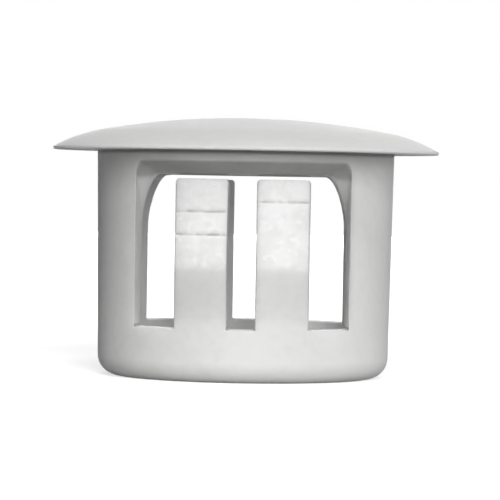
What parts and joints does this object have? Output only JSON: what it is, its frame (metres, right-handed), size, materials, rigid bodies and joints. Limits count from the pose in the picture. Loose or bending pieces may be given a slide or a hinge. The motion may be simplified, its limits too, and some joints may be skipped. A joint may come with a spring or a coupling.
{
  "type": "plastic hole plug",
  "caption": "Snap-in locking hole plug: a thin domed head over a hollow barrel, with windows where stepped fingers spring out to grip panels of several thicknesses.",
  "frame": {"origin": "centre of the barrel's rim, on the plane that the plug stands on", "axes": "+Z along the barrel's axis towards the head; the windows with the fingers face -Y and +Y, and -Y is the side in the picture; +X is to the right of it"},
  "size_m": [0.0162, 0.016, 0.0108],
  "materials": {
    "natural_nylon": "satin, slightly translucent, as moulded"
  },
  "bodies": {
    "root": {"hole_plug": "natural_nylon"}
  },
  "joints": []
}
